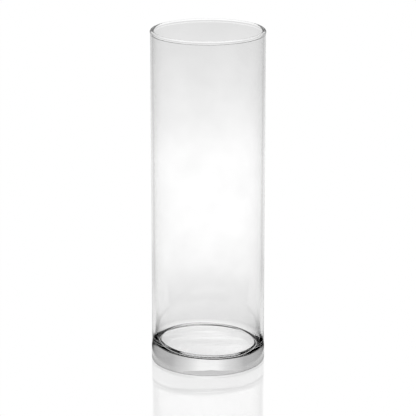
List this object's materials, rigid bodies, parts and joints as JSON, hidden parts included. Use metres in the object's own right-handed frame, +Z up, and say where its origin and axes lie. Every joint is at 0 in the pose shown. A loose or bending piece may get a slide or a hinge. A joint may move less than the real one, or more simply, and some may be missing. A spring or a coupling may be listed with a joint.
{
  "type": "glass cylinder vase",
  "caption": "Tall straight-sided clear glass cylinder vase with a thick solid base and a rounded, fire-polished rim, open at the top.",
  "frame": {"origin": "centre of the footprint, on the surface the vase stands on", "axes": "+Z up along the vase's axis; the vase is round, so X and Y are interchangeable"},
  "size_m": [0.1024, 0.1024, 0.3048],
  "materials": {
    "clear_glass": "clear, colourless, polished"
  },
  "bodies": {
    "root": {"heavy_base": "clear_glass", "cylinder_wall": "clear_glass", "rim_bead": "clear_glass"}
  },
  "joints": []
}
